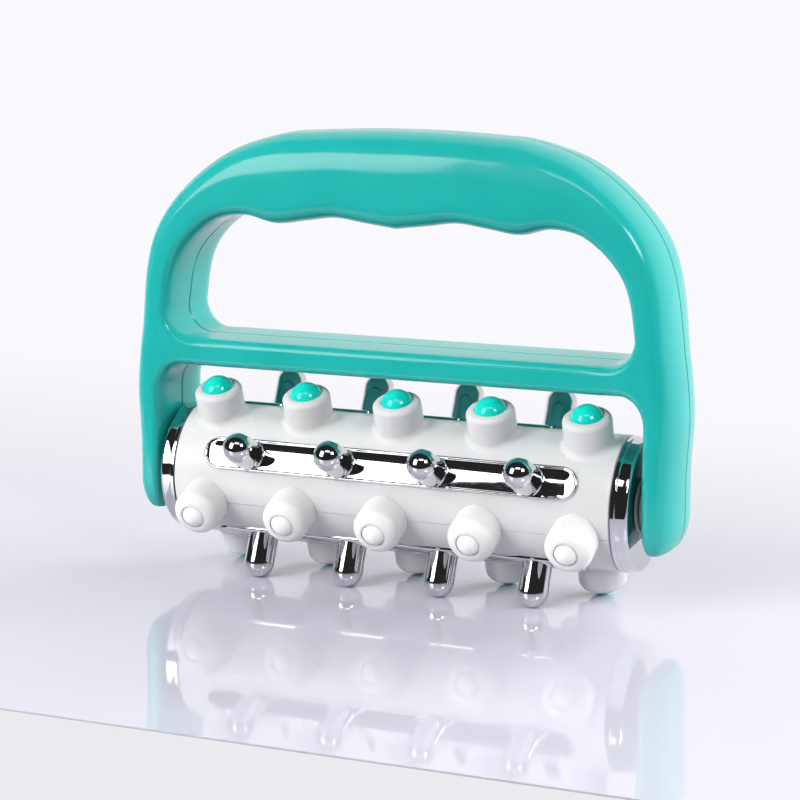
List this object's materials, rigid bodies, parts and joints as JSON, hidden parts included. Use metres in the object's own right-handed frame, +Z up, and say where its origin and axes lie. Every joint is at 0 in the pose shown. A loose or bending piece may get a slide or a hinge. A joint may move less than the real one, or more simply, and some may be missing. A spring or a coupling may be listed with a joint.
{
  "type": "foot massage roller",
  "caption": "Hand-held massage roller: a D-shaped handle with a finger opening, and a drum set with nubs, beads and chrome pins that spins between its arms.",
  "frame": {"origin": "on the floor, under the middle of the drum, at the centre of the object's footprint", "axes": "+X along the drum's axis, towards the right arm; +Y towards the back, where the handle's screws are; +Z up, towards the grip"},
  "size_m": [0.1354, 0.0476, 0.1068],
  "materials": {
    "teal_plastic": "glossy moulded teal plastic",
    "white_plastic": "semi-gloss moulded white plastic",
    "white_rubber": "smooth white, slightly translucent",
    "white_tip": "smooth white",
    "teal_bead": "polished teal",
    "chrome": "bright chrome plating on plastic",
    "steel": "plain bright steel",
    "nylon": "natural nylon"
  },
  "bodies": {
    "handle": {"handle_front_shell": "teal_plastic", "handle_rear_shell": "teal_plastic", "handle_screw_left_arm": "steel", "handle_screw_right_arm": "steel", "handle_screw_left_shoulder": "steel", "handle_screw_right_shoulder": "steel", "handle_screw_grip": "steel", "axle": "steel"},
    "drum": {"drum_shell_upper": "white_plastic", "drum_shell_lower": "white_plastic", "chrome_strip_upper_front": "chrome", "chrome_strip_upper_rear": "chrome", "chrome_strip_lower_front": "chrome", "chrome_strip_lower_rear": "chrome", "end_cap_left": "chrome", "bush_left": "nylon", "end_cap_right": "chrome", "bush_right": "nylon", "teal_bead_upper_1": "teal_bead", "teal_bead_upper_2": "teal_bead", "teal_bead_upper_3": "teal_bead", "teal_bead_upper_4": "teal_bead", "teal_bead_upper_5": "teal_bead", "teal_bead_lower_1": "teal_bead", "teal_bead_lower_2": "teal_bead", "teal_bead_lower_3": "teal_bead", "teal_bead_lower_4": "teal_bead", "teal_bead_lower_5": "teal_bead", "white_nub_front_1": "white_rubber", "white_nub_front_2": "white_rubber", "white_nub_front_3": "white_rubber", "white_nub_front_4": "white_rubber", "white_nub_front_5": "white_rubber", "nub_tip_front_1": "white_tip", "nub_tip_front_2": "white_tip", "nub_tip_front_3": "white_tip", "nub_tip_front_4": "white_tip", "nub_tip_front_5": "white_tip", "white_nub_rear_1": "white_rubber", "white_nub_rear_2": "white_rubber", "white_nub_rear_3": "white_rubber", "white_nub_rear_4": "white_rubber", "white_nub_rear_5": "white_rubber", "nub_tip_rear_1": "white_tip", "nub_tip_rear_2": "white_tip", "nub_tip_rear_3": "white_tip", "nub_tip_rear_4": "white_tip", "nub_tip_rear_5": "white_tip"}
  },
  "joints": [
    {"name": "drum_spin", "type": "hinge", "parent": "handle", "child": "drum", "pos_m": [0, 0, 0.0238], "axis": [1, 0, 0], "continuous": true}
  ]
}
